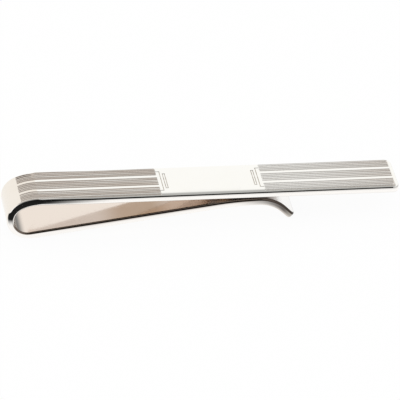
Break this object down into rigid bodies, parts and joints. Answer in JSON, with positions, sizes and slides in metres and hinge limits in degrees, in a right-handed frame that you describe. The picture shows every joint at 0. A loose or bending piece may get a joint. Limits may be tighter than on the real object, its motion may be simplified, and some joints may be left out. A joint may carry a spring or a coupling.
{
  "type": "tie clip",
  "caption": "Slide-on tie clip bent from a single polished strip, with engraved lines, a blank name plate, a springy bow and a sprung leaf with a turned-down lip.",
  "frame": {"origin": "centre of the blank name plate's face, on the front face of the bar", "axes": "+X along the bar from the bow to the open end, +Y across the bar, +Z out of the front face; the leaf lies under the bar, at negative Z"},
  "size_m": [0.0553, 0.0076, 0.0064],
  "materials": {
    "lined_silver": "polished silver engraved with close straight lines, bright on the ridges and darker in the cuts",
    "plate_silver": "mirror-polished silver with fine engraved frame lines",
    "strip_silver": "polished silver with faint lengthwise drawing marks and hairline scratches"
  },
  "bodies": {
    "leaf": {"spring_bow": "strip_silver", "spring_leaf": "strip_silver", "lead_in_lip": "strip_silver"},
    "bar": {"bow_side_panel": "lined_silver", "name_plate": "plate_silver", "open_end_panel": "lined_silver"}
  },
  "joints": [
    {"name": "bow_spring", "type": "hinge", "parent": "leaf", "child": "bar", "pos_m": [-0.02588, 0, -0.00335], "axis": [0, -1, 0], "range_deg": [-0.4, 6], "stiffness_Nm_per_rad": 1.3, "deforming": ["spring_bow"]}
  ]
}
